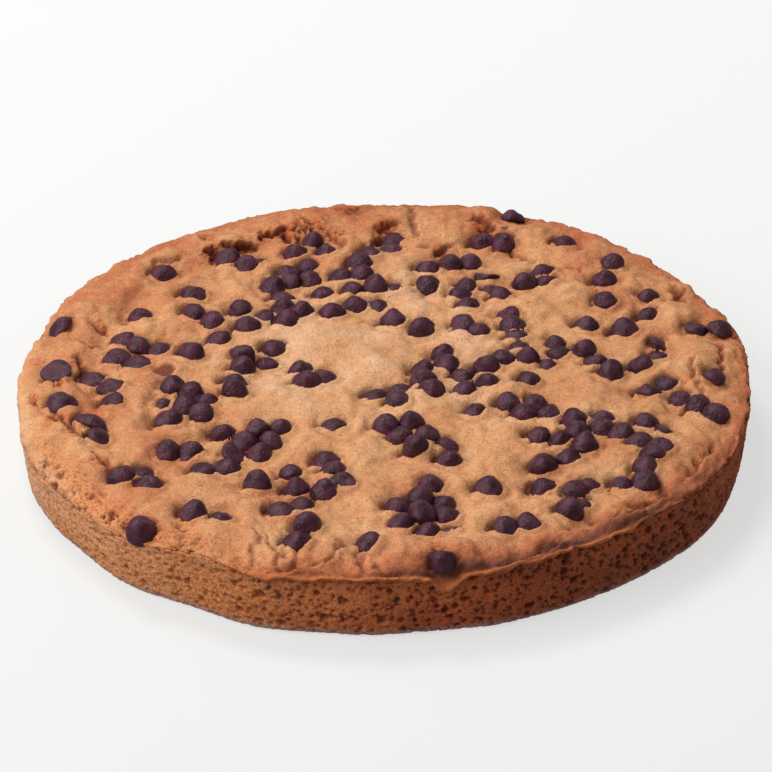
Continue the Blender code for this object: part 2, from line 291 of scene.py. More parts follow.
# %% Layout of the chips
CHIP_WIDTH = 10.8 * MM  # as it shows above the dough
CHIP_FOOT = 11.3 * MM  # width low down, near its foot
CHIP_TALL = 6.3 * MM
CHIP_SINK = 0.38  # share of its height below the dough
DROWNED_SINK = 0.7
CHIP_SPACING = 0.76  # least distance between two chips, in chip widths
CHIP_WIDTHS, CHIP_HEIGHTS = (0.9, 1.02), (0.8, 1.4)  # the least and the most, as shares
CHIP_LEAN = 38  # degrees, the usual most
LEAN_BEARING, LEAN_SPREAD = 335, 75  # most tips lean to the right
RIM_LEAN = 55  # degrees outwards, for a chip right at the edge
FLAT_BEARING, FLAT_SPREAD = 190, 35  # on this side the chips near the rim melted flat
FLAT_FROM, FLAT_FULL = 75 * MM, 105 * MM  # from the middle
HANG_LEAN = 34  # degrees more, for the chip that hangs over the dip in the lip
HANG_OUT = 3.6 * MM  # and this far out from the crust
SCATTER = 0.08  # in chip widths
CHIP_SEED = 11

# Chips that lie by themselves: bearing, distance from the middle in mm.
LONE_CHIPS = (
    (164, 132), (139, 116), (155, 105), (168, 76), (181, 125), (191, 124), (204, 88),
    (216, 74), (245, 43), (231, 139), (268, 120), (279, 133), (283, 81), (295, 92),
    (323, 45), (66, 37), (111, 67), (54, 126), (67, 135), (25, 88), (19, 100),
    (358, 127), (354, 56), (306, 101), (84, 40), (240, 92),
)
# Chips that baked together, each group strung along a zigzag: the bearing and distance of its
# middle, the number of chips, and the zigzag's heading in degrees, length and breadth in chip widths.
CHIP_GROUPS = (
    # left and back
    (122, 104, 3, 5, 1.2, 0.4),
    (145, 91, 2, 95, 1.4, 0),
    (148, 70, 4, 105, 1.6, 1.0),
    (171, 98, 5, 340, 1.6, 1.2),
    (186, 106, 3, 110, 1.6, 0.4),
    (201, 115, 2, 115, 1.0, 0),
    (196, 77, 6, 145, 1.8, 0.8),
    (181, 55, 4, 85, 2.8, 0),
    (161, 45, 2, 70, 0.8, 0),
    (107, 99, 4, 125, 1.4, 1.0),
    (120, 80, 3, 270, 2.2, 0.2),
    (115, 80, 2, 30, 0.4, 0),
    (131, 59, 4, 45, 0.8, 0.6),
    (89, 99, 3, 60, 1.6, 0.4),
    (98, 77, 3, 40, 1.0, 0.6),
    (93, 64, 3, 0, 1.2, 0),
    (102, 52, 3, 200, 1.8, 0.4),
    # left and front
    (217, 94, 2, 175, 0.8, 0),
    (220, 116, 3, 150, 1.0, 0.6),
    (227, 68, 6, 65, 2.2, 0.8),
    (228, 93, 2, 20, 0.8, 0),
    (238, 120, 2, 160, 0.8, 0),
    (256, 74, 3, 110, 1.8, 0),
    (250, 85, 3, 315, 1.6, 0.4),
    (251, 102, 2, 30, 1.0, 0),
    (256, 118, 2, 75, 1.0, 0),
    # the middle
    (187, 28, 3, 335, 1.0, 0.6),
    (25, 27, 2, 105, 0.8, 0),
    (340, 17, 3, 275, 1.6, 0.2),
    (283, 19, 3, 30, 1.0, 0.8),
    (354, 36, 4, 90, 1.8, 0.8),
    (283, 47, 5, 120, 2.0, 0.8),
    (293, 63, 2, 90, 0.8, 0),
    (43, 49, 2, 150, 0.8, 0),
    # right and back
    (76, 76, 2, 90, 1.4, 0),
    (70, 93, 2, 10, 0.8, 0),
    (62, 67, 3, 270, 1.4, 0.4),
    (58, 80, 3, 285, 1.4, 0.4),
    (67, 114, 2, 165, 0.8, 0),
    (49, 96, 3, 50, 1.2, 0.8),
    (38, 114, 3, 260, 2.6, 0.2),
    (26, 117, 2, 90, 1.2, 0),
    (14, 131, 2, 0, 0.6, 0),
    (30, 61, 4, 105, 2.2, 0),
    (13, 68, 3, 80, 1.2, 0.2),
    (12, 53, 2, 175, 0.8, 0),
    (6, 83, 3, 120, 1.6, 0),
    (7, 107, 3, 65, 1.8, 0.4),
    # right and front
    (276, 102, 5, 275, 2.0, 0.8),
    (283, 103, 3, 95, 1.6, 0),
    (335, 62, 4, 0, 1.4, 0.6),
    (333, 87, 4, 85, 0.8, 1.0),
    (324, 79, 2, 170, 0.6, 0),
    (318, 92, 3, 40, 1.8, 0.2),
    (336, 109, 5, 150, 1.2, 1.2),
    (326, 119, 2, 70, 1.0, 0),
    (354, 106, 2, 25, 0.8, 0),
    (348, 122, 3, 135, 1.4, 0),
    (309, 115, 4, 80, 1.8, 0.4),
    (319, 122, 2, 5, 0.8, 0),
    (294, 119, 2, 30, 0.6, 0),
)
# Chips that are nearly drowned, and chips that lie with the foot up: bearing and distance in mm.
DROWNED_CHIPS = (
    (268, 118), (325, 45), (20, 61), (87, 66), (118, 106), (60, 78), (153, 68),
    (195, 80), (7, 109), (310, 122), (283, 112), (46, 95), (240, 117),
)
UPSIDE_DOWN_CHIPS = ((342, 115), (259, 80), (226, 80), (62, 89), (13, 109), (180, 124))
print(len(LONE_CHIPS), "chips lie alone, and there are", len(CHIP_GROUPS), "groups")


# %% Place the chips
def zigzag(chips, heading, length, breadth):
    """Where a group's chips lie about its middle, in chip widths."""
    ahead = polar(math.radians(heading), 1)
    aside = polar(math.radians(heading + 90), breadth / 2)
    sides = (-1.0) ** np.arange(chips)
    return np.outer(np.linspace(-length / 2, length / 2, chips), ahead) + np.outer(sides, aside)


def chip_plan(rng):
    """The plan positions of all chips, pushed apart until none crowd each other."""
    spots = [polar(math.radians(bearing), radius * MM) for bearing, radius in LONE_CHIPS]
    for bearing, radius, chips, *string in CHIP_GROUPS:
        offsets = zigzag(chips, *string) + rng.uniform(-SCATTER, SCATTER, (chips, 2))
        spots += list(polar(math.radians(bearing), radius * MM) + offsets * CHIP_WIDTH)
    spots = np.array(spots)
    least = CHIP_SPACING * CHIP_WIDTH
    for _ in range(30):
        apart = spots[:, None] - spots
        gap = np.linalg.norm(apart, axis=2) + np.eye(len(spots)) * least
        push = np.clip(least - gap, 0, None) / gap
        spots += 0.4 * (push[:, :, None] * apart).sum(axis=1)
    return spots


def nearest_chips(plan, spots):
    """The numbers of the chips that lie nearest to the spots, given as bearings and distances in mm."""
    places = [polar(math.radians(bearing), radius * MM) for bearing, radius in spots]
    return [int(np.argmin(np.linalg.norm(plan - place, axis=1))) for place in places]


def chip_matrices():
    """One matrix for each chip: its seat in the crust, its lean, how deep it sank and its size."""
    rng = np.random.default_rng(CHIP_SEED)
    plan = chip_plan(rng)
    drowned = nearest_chips(plan, DROWNED_CHIPS)
    upside_down = nearest_chips(plan, UPSIDE_DOWN_CHIPS)
    heights = crust_height(plan) + lumps(unrolled(plan))
    matrices = []
    for chip, (place, height, over) in enumerate(zip(plan, heights, share_over(plan))):
        tangent = Vector((-place[1], place[0], 0)).normalized()
        bearing = math.atan2(place[1], place[0])
        flat = towards(bearing, FLAT_BEARING, FLAT_SPREAD)
        flat *= ramp(math.hypot(*place), FLAT_FROM, FLAT_FULL)
        hang = towards(bearing, LIP_NOTCH_BEARING, LIP_NOTCH_SPREAD) * (over > 0)
        roll = RIM_LEAN * over**1.5 + HANG_LEAN * hang
        roll_out = Matrix.Rotation(math.radians(roll), 4, tangent)
        tip_bearing = math.radians(rng.normal(LEAN_BEARING, LEAN_SPREAD))
        lean_axis = Vector((*polar(tip_bearing + math.pi / 2, 1), 0))
        lean = Matrix.Rotation(math.radians(rng.uniform(0.1, 1) * CHIP_LEAN), 4, lean_axis)
        on_crust = Vector((0, 0, 1)).rotation_difference(crust_normal(place)).to_matrix().to_4x4()
        sink = CHIP_SINK * rng.uniform(0.7, 1.3) * (1 - 0.5 * flat)
        turn = Matrix.Rotation(rng.uniform(0, 2 * math.pi), 4, "Z")
        wide = rng.uniform(*CHIP_WIDTHS) + 0.1 * flat
        tall = rng.uniform(*CHIP_HEIGHTS) * (1 - 0.35 * flat)
        if chip in drowned:
            sink = DROWNED_SINK
        if chip in upside_down:
            sink = -CHIP_SINK / 2
            turn = Matrix.Rotation(math.pi, 4, "X")
        seat = Matrix.Translation(Vector((*place, height)) + crust_normal(place) * HANG_OUT * hang)
        drop = Matrix.Translation((0, 0, -sink * CHIP_TALL))
        size = Matrix.Diagonal((wide, wide, tall, 1))
        matrices.append(seat @ roll_out @ lean @ on_crust @ drop @ turn @ size)
    return matrices


seats = chip_matrices()
print(len(seats), "chips are placed")

# %% [markdown]
# A chip is a turned shape, so half its outline spun round makes it: a flat foot with a rounded edge,
# then a dome that ends in a soft tip. One chip is spun, and copies of it are added to one mesh,
# each moved by its own matrix. Noise then dents them all, because chips slump a little when they melt.

# %% Spin one chip
CHIP_SIDES = 26
DOME_STEPS = 10
FOOT_EDGE = 0.7 * MM  # radius of the rounded edge of the foot
DOME_FULLNESS = 1.9  # 2 would be a ball's round side and 1 a cone's straight one
TIP_SHARPNESS = 0.62  # 0.5 would be a ball's round top and 1 a cone's point


def chip_outline():
    """Half the outline, from the middle of the foot to the tip."""
    half = CHIP_FOOT / 2
    foot = [(0, 0), (0.5 * half, 0), (half - FOOT_EDGE, 0), (half - 0.25 * FOOT_EDGE, 0.35 * FOOT_EDGE)]
    rise = np.linspace(0, 1, DOME_STEPS + 1)
    dome = half * (1 - rise**DOME_FULLNESS) ** TIP_SHARPNESS
    return foot + list(zip(dome, FOOT_EDGE + (CHIP_TALL - FOOT_EDGE) * rise))


def spun(outline, sides):
    """A closed shape: an outline that starts and ends on the Z axis, spun round it."""
    bm = bmesh.new()
    verts = [bm.verts.new((out, 0, up)) for out, up in outline]
    edges = [bm.edges.new(pair) for pair in zip(verts, verts[1:])]
    bmesh.ops.spin(
        bm,
        geom=verts + edges,
        axis=(0, 0, 1),
        cent=(0, 0, 0),
        angle=2 * math.pi,
        steps=sides,
        use_merge=True,
    )
    bmesh.ops.remove_doubles(bm, verts=bm.verts, dist=0.01 * MM)
    bmesh.ops.recalc_face_normals(bm, faces=bm.faces)
    return bm


one_chip = spun(chip_outline(), CHIP_SIDES)
print("one chip has", len(one_chip.faces), "faces")


# %% Copy it into every seat
def mesh_from(bm, name):
    """A mesh of what a bmesh holds."""
    mesh = bpy.data.meshes.new(name)
    bm.to_mesh(mesh)
    bm.free()
    return mesh


chip_mesh = mesh_from(one_chip, "chip")
gathered = bmesh.new()
for seat in seats:
    gathered.from_mesh(chip_mesh)
    gathered.verts.ensure_lookup_table()
    bmesh.ops.transform(gathered, matrix=seat, verts=gathered.verts[-len(chip_mesh.vertices):])
bpy.data.meshes.remove(chip_mesh)
chips_mesh = mesh_from(gathered, "chocolate_chips")
print("the chips have", len(chips_mesh.polygons), "faces")

# %% Dent and wrinkle them
SLUMP, SLUMP_SIZE = 0.9 * MM, 5.0 * MM
WRINKLE, WRINKLE_SIZE = 0.3 * MM, 1.8 * MM


def read(mesh, what):
    """The places or normals of a mesh's vertices."""
    values = np.empty(3 * len(mesh.vertices), np.float32)
    mesh.vertices.foreach_get(what, values)
    return values.reshape(-1, 3).astype(float)


def place(mesh, places):
    """Moves a mesh's vertices to new places."""
    mesh.vertices.foreach_set("co", places.astype(np.float32).ravel())
    mesh.update()


smooth_chips = read(chips_mesh, "co")
dents = SLUMP * noise_at(smooth_chips, SLUMP_SIZE, 3)
dents += WRINKLE * noise_at(smooth_chips, WRINKLE_SIZE, 4, 2)
place(chips_mesh, smooth_chips + read(chips_mesh, "normal") * dents[:, None])
chip_faces = [face.vertices[:] for face in chips_mesh.polygons]
around_chips = BVHTree.FromPolygons(read(chips_mesh, "co").tolist(), chip_faces)
print("the dents are up to", round(np.abs(dents).max() / MM, 2), "mm deep")

# %% [markdown]
# ## The crust
# The crust is the cake's dry skin, from the middle of the top out to the lip. It could be sculpted,
# but its relief has to be read against the chips and raised by rule, so it is one fine, even mesh.
# The flat round starts as a grid whose square border is rounded, because a grid's faces stay
# nearly square all over, while a spun disc would crowd them at its middle. Its border is then
# extruded ring by ring to the lip and tucked under. Faces of just under a millimetre are fine enough
# for folds, tears and the collar of dough round each chip.

# %% Make the flat round
CRUST_CELLS = 248  # squares across the field, so its border has four times as many edges
ROLL_RINGS = 32


def add_rings(bm, radii):
    """Extrudes a flat shape's border outwards ring by ring, from radius to radius, and closes it."""
    border = [edge for edge in bm.edges if edge.is_boundary]
    for before, radius in zip(radii, radii[1:]):
        made = bmesh.ops.extrude_edge_only(bm, edges=border)["geom"]
        border = [item for item in made if isinstance(item, bmesh.types.BMEdge) and item.is_boundary]
        ring = [item for item in made if isinstance(item, bmesh.types.BMVert)]
        bmesh.ops.scale(bm, vec=(radius / before, radius / before, 1), verts=ring)
    bmesh.ops.contextual_create(bm, geom=border)


def flat_round():
    """The crust before it is laid on the form: a grid made round, with rings for the roll and tuck."""
    bm = bmesh.new()
    bmesh.ops.create_grid(bm, x_segments=CRUST_CELLS, y_segments=CRUST_CELLS, size=1)
    for vert in bm.verts:
        # Equal steps along the square's sides become equal angles round the disc.
        u, v = (math.sqrt(2) * math.sin(math.pi / 4 * at) for at in vert.co.xy)
        vert.co.xy = (FIELD * u * math.sqrt(1 - v**2 / 2), FIELD * v * math.sqrt(1 - u**2 / 2))
    radii = list(FIELD + np.linspace(0, ROLL, ROLL_RINGS + 1))
    radii += [radii[-1] + past * MM for past, _, _ in TUCK[1:]]
    add_rings(bm, radii)
    bmesh.ops.recalc_face_normals(bm, faces=bm.faces)
    return bm


def formed(flat_bm, name, form):
    """A mesh laid on its form, facing outwards: with its flat places, its places and its normals."""
    mesh = mesh_from(flat_bm, name)
    flat = read(mesh, "co")[:, :2]
    place(mesh, form(flat))
    places, normals = read(mesh, "co"), read(mesh, "normal")
    if (places * normals).sum() < 0:
        mesh.flip_normals()
        normals = -normals
    return mesh, flat, places, normals


crust_mesh, crust_flat, crust_form, crust_normals = formed(flat_round(), "crust", laid_on_form)
print("the crust has", len(crust_mesh.polygons), "faces")

# %% [markdown]
# ### How the dough meets the chips
# Dough rises between the chips and swells into a low collar round each of them, and on the side
# from which a chip slid it tore away and left a gap. The tree of the chips' faces tells how far
# each vertex is from the nearest chip, and on which side of it, and simple functions of that distance
# then raise the pillows and collars and open the gaps. The gaps and a thin band along each chip's
# edge, on the side towards the back left, are also marked for painted shade.

# %% Distances to the chips
PILLOW_RISE, PILLOW_REACH = 2.4 * MM, 3.6 * MM
COLLAR_RISE, COLLAR_OUT, COLLAR_WIDTH = 2.2 * MM, 0.1 * MM, 1.6 * MM
GAP_DEPTH, GAP_WIDTH = 2.3 * MM, 2.8 * MM
GAP_PATCH = 12 * MM  # chips that lie this close together mostly have a gap or none alike
GAP_SIDE = Vector((-0.45, 0.89, 0))  # most chips slid away from the back left
CHIP_EDGE_SHADE_WIDTH = 1.2 * MM
UNDER_CHIP_DROP = 1.5 * MM  # the dough under a chip lies lower, out of sight


def beside_chips(places):
    """Distance to the nearest chip, negative inside it, and which side of it: 1 is the gap's."""
    distance, side = np.empty(len(places)), np.empty(len(places))
    for number, at in enumerate(places.tolist()):
        nearest, normal, _, reach = around_chips.find_nearest(at)
        away = Vector(at) - nearest
        distance[number] = math.copysign(reach, away.dot(normal))
        side[number] = normal.dot(GAP_SIDE)
    return distance, side


to_chip, chip_side = beside_chips(crust_form + crust_normals * lumps(crust_flat)[:, None])
has_gap = ramp(noise_at(crust_form, GAP_PATCH, 5), -0.4, 0.05)
gap = has_gap * ramp(chip_side, 0, 0.45) * ramp(to_chip, GAP_WIDTH, 0.4 * GAP_WIDTH)
# painted shade along the chip's edge, on the side towards the back left
chip_edge_shade = ramp(chip_side, -0.3, 0.4) * bump(to_chip, 0, CHIP_EDGE_SHADE_WIDTH)
collar = (0.55 + 0.45 * ramp(chip_side, 0.3, -0.6)) * (1 - share_over(crust_form[:, :2]))
chip_relief = (
    PILLOW_RISE * (0.55 - bump(to_chip, 0, PILLOW_REACH))
    + COLLAR_RISE * collar * bump(to_chip, COLLAR_OUT, COLLAR_WIDTH)
    - GAP_DEPTH * gap
    - UNDER_CHIP_DROP * ramp(-to_chip, 0.5 * MM, 2 * MM)
)
print(round(100 * (to_chip < 0).mean()), "% of the crust is under chips")

# %% [markdown]
# ### Tears, folds and crumbly hollows
# The rim shows where the crust moved in the oven: it tore open inside the rim, folded along the
# front, cracked at the right, and has crumbly hollows at the left. These lie in particular spots,
# so they are named in tables. A wandering shift of the coordinates turns each straight line
# into a ragged one.

# %% Where the crust tore, cracked and folded
# Both ends as bearing and mm along the crust from the middle, then width and depth in mm, and
# the height in mm by which the outer side stands over the inner one.
CREASES = (
    # tears inside the rim, from the left to the back
    (216, 122, 209, 121, 1.1, 1.2, 0.1),
    (203, 121, 198, 124, 1.1, 1.4, 0.1),
    (198, 124, 193, 127, 1.1, 1.3, 0.1),
    (190, 132, 186, 135, 1.0, 1.0, 0.1),
    (185, 123, 182, 127, 1.0, 1.0, 0.1),
    (178, 115, 175, 118, 1.2, 1.6, 0.1),
    (170, 112, 169, 119, 1.2, 1.5, 0.1),
    (163, 114, 162, 119, 1.2, 1.3, 0.1),
    (138, 125, 133, 123, 1.1, 1.0, 0.2),
    (127, 119, 125, 118, 1.2, 1.6, 0.2),
    (125, 129, 124, 122, 0.9, 0.9, 0),
    (123, 119, 120, 117, 1.2, 1.8, 0.4),
    (120, 117, 117, 116, 1.2, 1.8, 0.4),
    (115, 119, 111, 119, 1.1, 1.4, 0.3),
    (110, 114, 110, 120, 1.2, 1.6, 0.2),
    (107, 122, 106, 118, 1.0, 1.2, 0.1),
    (101, 117, 99, 103, 1.2, 1.3, 0.1),
    (98, 130, 94, 133, 0.9, 0.8, 0),
    (94, 104, 93, 94, 1.3, 1.8, 0.3),
    (93, 96, 91, 109, 1.2, 1.5, 0.3),
    (98, 88, 96, 90, 1.2, 1.4, 0.2),
    (91, 115, 87, 118, 1.2, 1.2, 0.2),
    (77, 96, 75, 106, 1.2, 1.5, 0.3),
    (73, 124, 69, 122, 1.4, 1.5, 0.3),
    # cracks
    (85, 131, 83, 113, 1.1, 1.2, 0),
    (82, 98, 78, 100, 0.9, 1.0, 0.1),
    (62, 111, 56, 108, 0.9, 1.2, 0.2),
    (48, 111, 45, 111, 0.8, 1.0, 0),
    (29, 130, 25, 129, 1.3, 1.6, 0.4),
    (9, 129, 1, 128, 0.9, 1.6, 0.3),
    (3, 118, 358, 118, 0.9, 1.4, 0.2),
    (356, 120, 352, 121, 0.8, 1.2, 0.2),
    # folds along the front
    (248, 120, 250, 126, 0.8, 0.8, 0.3),
    (250, 121, 252.5, 127.5, 0.8, 0.9, 0.3),
    (249, 127, 250.5, 136, 0.8, 0.7, 0.3),
    (252.5, 127.5, 254.5, 137, 0.8, 0.7, 0.3),
    (253.5, 126, 254.5, 131, 0.8, 0.8, 0.3),
    (255.5, 127, 256.5, 134, 0.8, 0.7, 0.3),
    (256, 137.5, 261, 131.5, 1.2, 1.4, 0.7),
    (261, 131.5, 264, 120, 1.3, 1.7, 0.6),
    (265.5, 125, 266.5, 132, 1.0, 0.7, 0.3),
    (266.5, 127, 267, 135, 1.0, 0.9, 0.3),
    (268.5, 130, 269.5, 136, 1.0, 0.9, 0.3),
    (283, 130, 289, 136, 2.0, 0.5, 0.3),
    (288, 138, 299, 134, 2.0, 1.0, 0.4),
    (294, 139, 298, 134, 1.2, 1.3, 0.5),
    (302, 129, 307, 131.5, 1.3, 1.5, 0.6),
    (307, 129.5, 312, 133.5, 1.3, 2.0, 0.7),
    (312, 133.5, 318, 133.5, 1.3, 2.1, 0.7),
    (314, 130, 318, 132, 1.0, 1.2, 0.4),
    (322, 127, 320, 133, 1.2, 1.4, 0.4),
    (327, 132, 332, 129.5, 1.1, 1.4, 0.5),
    (332, 129.5, 337, 131.5, 1.1, 1.3, 0.5),
)
# Crumbly hollows: bearing and mm of the middle, breadth in mm, how open the crumb is.
HOLLOWS = (
    (188, 132, 5, 1.0), (196, 126, 5, 1.0), (202, 122, 5, 1.0), (184, 124, 4, 0.8), (212, 122, 5, 0.9),
    (176, 130, 4, 0.7), (177, 117, 5, 1.0), (169, 115, 5, 0.9), (162, 117, 5, 0.8), (124, 127, 4, 0.8),
    (126, 118, 5, 1.0), (120, 117, 6, 1.0), (114, 119, 5, 0.9), (109, 118, 8, 1.0), (104, 120, 9, 1.0),
    (100, 113, 7, 0.9), (96, 130, 6, 0.8), (93, 98, 6, 1.0), (90, 116, 8, 0.9), (76, 100, 6, 1.0),
    (71, 122, 6, 0.8), (315, 118, 5, 0.9), (320, 133, 3, 1.0), (321, 117, 4, 0.6), (326, 118, 4, 0.6),
    (279, 127, 5, 0.7), (55, 127, 9, 0.4), (27, 129, 7, 0.5), (236, 128, 6, 0.6), (241, 133, 5, 0.5),
)
PRINT_BEARING, PRINT_OUT = 179, 84 * MM  # where a chip fell out
print(len(CREASES), "creases and", len(HOLLOWS), "crumbly hollows")

# %% Work out their relief
STEP_GAIN, GROOVE_GAIN = 2.4, 1.5  # the grid rounds creases off, so they are drawn higher and deeper
STEP_REACH = 3.2  # in crease widths
WANDER, WANDER_SIZE = 1.7 * MM, 3.5 * MM
CRUMB_HOLE_DEPTH, CRUMB_HOLE_SIZE = 1.2 * MM, 1.9 * MM
PRINT_DEPTH, PRINT_RADIUS = 1.3 * MM, 5 * MM


def wandered(flat):
    """The flat round's places, each shifted a little, so that straight lines on it turn ragged."""
    shift = [noise_at(flat, WANDER_SIZE, seed, 3) for seed in (6, 7)]
    return flat + WANDER * np.column_stack(shift)


def crease_relief(flat):
    """The relief of all creases, and how deep in one each place lies."""
    relief, depth = np.zeros(len(flat)), np.zeros(len(flat))
    for bearing_1, mm_1, bearing_2, mm_2, width, deep, step in CREASES:
        start = polar(math.radians(bearing_1), mm_1 * MM)
        line = polar(math.radians(bearing_2), mm_2 * MM) - start
        share = np.clip((flat - start) @ line / (line @ line), 0, 1)
        off = flat - start - share[:, None] * line
        distance = np.hypot(*off.T) / (width * MM)
        groove = np.exp(-(distance**2))
        across = np.array([line[1], -line[0]]) / math.hypot(*line)
        across *= math.copysign(1, across @ (start + line / 2))
        side = np.tanh(off @ across / (0.5 * width * MM))
        raised_side = STEP_GAIN * step * side * bump(distance, 0, STEP_REACH)
        relief += MM * (raised_side - GROOVE_GAIN * deep * groove)
        depth = np.maximum(depth, groove * min(1, deep / 1.8))
    return relief, depth


crust_wandered = wandered(crust_flat)
creases, crease_depth = crease_relief(crust_wandered)
crumbly = np.zeros(len(crust_flat))
for bearing, mm, breadth, openness in HOLLOWS:
    off = crust_wandered - polar(math.radians(bearing), mm * MM)
    crumbly = np.maximum(crumbly, openness * bump(np.hypot(*off.T), 0, breadth * MM * 0.7))
holes = ramp(noise_at(crust_form, CRUMB_HOLE_SIZE, 8, 2), 0.1, 0.4) * ramp(crumbly, 0.1, 0.6)
from_print = np.hypot(*(crust_flat - polar(math.radians(PRINT_BEARING), PRINT_OUT)).T)
chip_print = ramp(from_print, PRINT_RADIUS, PRINT_RADIUS - MM)
print("the deepest crease is", round(-creases.min() / MM, 1), "mm")

# %% [markdown]
# ### The crumb
# Where dough touches the tin it can't form a crust, so its crumb shows: thousands of holes of one
# to four millimetres, run together in places. They could be drawn one by one, but a scatter of points
# in space with a bubble about each is what rising dough has. At the left the crust ends without a
# lip, and the same holes begin on the shoulder, so one function makes them for crust and wall alike.

# %% Holes of the crumb
SMALL_HOLES = (0.8 * MM, 2.3 * MM, 0.42)  # depth, distance apart, and radius as a share of that
LARGE_HOLES = (1.3 * MM, 5.0 * MM, 0.31)
FULL_HOLE = 0.9 * MM  # a hole of this depth and more is fully dark
RAGGED, RAGGED_SIZE = 0.4 * MM, 1.3 * MM
LIP_BEARING, LIP_NONE, LIP_FULL = 281, 37, 28  # the lip is gone and full this far to either side
OPEN_SIDE_BEARING, OPEN_SIDE_SPREAD = 222, 26  # where the holes reach up over the shoulder
SMOOTH_SIDE_BEARING, SMOOTH_SIDE_SPREAD = 183, 20  # where the crust reaches down over the wall


def bubbles(places, spacing, radius, seed):
    """From 0 outside to 1 in the middle of bubbles of all sizes, one about each point of a scatter."""
    away = seed * SEED_SHIFT
    inside = np.empty(len(places))
    for number, point in enumerate((places / spacing).tolist()):
        distances, middles = noise.voronoi(Vector(point) + away)
        inside[number] = radius * (1 + 0.9 * noise.noise(9.7 * middles[0])) - distances[0]
    return ramp(inside, 0, 0.5 * radius)


def crumb_holes(places):
    """How deep the holes are at places in space, and 0 to 1 how far inside one each place is."""
    ragged = np.column_stack([noise_at(places, RAGGED_SIZE, seed, 2) for seed in (13, 14, 15)])
    squashed = places * (1, 1, 1.1) + RAGGED * ragged  # holes are a little wider than tall
    depths = []
    for seed, (depth, spacing, radius) in enumerate((SMALL_HOLES, LARGE_HOLES), 16):
        depths.append(depth * bubbles(squashed, spacing, radius, seed))
    return sum(depths), np.clip(sum(depths) / FULL_HOLE, 0, 1)


def lip_share(bearing):
    """How far the crust's lip stands out over the wall: clear at the front, flush at the sides."""
    lip = 0.05 + 0.08 * waves(polar(bearing, RADIUS), 50 * MM, 12)
    away = np.abs(degrees_past(bearing, LIP_BEARING))
    return np.clip(lip + ramp(away, LIP_NONE, LIP_FULL), 0.03, 1.1)


def bare_crumb(bearing):
    """How bare the crumb is: all but covered where the crust reaches down over the wall."""
    return 1 - 0.95 * towards(bearing, SMOOTH_SIDE_BEARING, SMOOTH_SIDE_SPREAD)


bearings, along = bearing_and_radius(crust_flat)
open_side = towards(bearings, OPEN_SIDE_BEARING, OPEN_SIDE_SPREAD)
to_edge = FIELD + ROLL - along
lip_out = lip_share(bearings)
no_lip = ramp(lip_out, 0.5, 0.1)
open_crumb = bare_crumb(bearings) * np.maximum(
    open_side * ramp(along, FIELD + 2 * MM, FIELD + 0.65 * ROLL),
    no_lip * ramp(to_edge, 5 * MM, MM),
)
crumb_depth, in_crumb_hole = crumb_holes(crust_form)
print(round(100 * in_crumb_hole.mean()), "% of crumb is holes")

# %% [markdown]
# ### Smears of chocolate
# A few chips were pressed against the tin or broke, and left spots and smears. A smear has no height
# worth modelling, so each is a point on the crust or the wall, and the material darkens what lies
# near it.

# %% Place the smears
# Bearing, mm along the crust and size in mm, then the same on the wall with the height in mm.
CRUST_SMEARS = ((230, 140, 2.6), (206, 138, 2.6), (66, 122, 2.2), (300, 141, 1.6), (238, 100, 1.4))
WALL_SMEARS = (
    (252, 22, 1.8), (253, 19.5, 1.6), (254.6, 17, 2.2), (272, 16, 2.0), (271, 13, 1.8),
    (309, 11, 1.8), (75, 9, 2.2), (110, 18, 2.4), (150, 12, 2.0),
)
SMEAR_RAGGED, SMEAR_RAGGED_SIZE = 1.6 * MM, 1.6 * MM
smear_points = [
    (laid_on_form(polar(math.radians(bearing), mm * MM)[None])[0], size * MM)
    for bearing, mm, size in CRUST_SMEARS
]
for bearing, height, size in WALL_SMEARS:
    plan = polar(math.radians(bearing), edge_radius(math.radians(bearing)) - 0.8 * MM)
    smear_points.append((np.array([*plan, height * MM]), size * MM))


def smeared(places):
    """0 to 1, how much chocolate is smeared on each place."""
    ragged = SMEAR_RAGGED * noise_at(places, SMEAR_RAGGED_SIZE, 21, 2)
    smear = np.zeros(len(places))
    for point, size in smear_points:
        away = np.linalg.norm(places - point, axis=1) + ragged
        smear = np.maximum(smear, ramp(away, size, 0.1 * size))
    return smear


print(len(smear_points), "smears")

# %% [markdown]
# ### Putting the relief together
# All layers of relief are added and raised along the form's normals in one go, and the lip is
# drawn with them: a thin bead along the edge, a groove above it, and a ragged lower side.

# %% Raise the crust
GRAIN_RISE, GRAIN_SIZE = 0.17 * MM, 2.0 * MM
BEAD_RISE, BEAD_FROM_EDGE, BEAD_WIDTH = 0.7 * MM, 0.9 * MM, 1.6 * MM
GROOVE_DEPTH, GROOVE_FROM_EDGE, GROOVE_WIDTH = 0.6 * MM, 4.6 * MM, 2.0 * MM
LIP_WAVER, LIP_WAVER_SIZE = 1.8 * MM, 6 * MM

on_top = ramp(to_edge, 0, MM + 1.5 * MM * lip_out)
relief = (
    lumps(crust_flat)
    + chip_relief
    + creases
    - CRUMB_HOLE_DEPTH * holes
    - PRINT_DEPTH * chip_print
    - open_crumb * crumb_depth
    + GRAIN_RISE * noise_at(crust_form, GRAIN_SIZE, 9, 2)
)
bead = BEAD_RISE * bump(to_edge, BEAD_FROM_EDGE, BEAD_WIDTH)
lip_relief = lip_out * (bead - GROOVE_DEPTH * bump(to_edge, GROOVE_FROM_EDGE, GROOVE_WIDTH))
raised = crust_form + crust_normals * (on_top * relief + lip_relief)[:, None]
waver = LIP_WAVER * noise_at(polar(bearings, RADIUS), LIP_WAVER_SIZE, 19, 2)
raised[:, 2] += lip_out * waver * ramp(to_edge, 5 * MM, 0)
place(crust_mesh, raised)
print("the crust's relief spans", round(np.ptp(relief) / MM, 1), "mm")
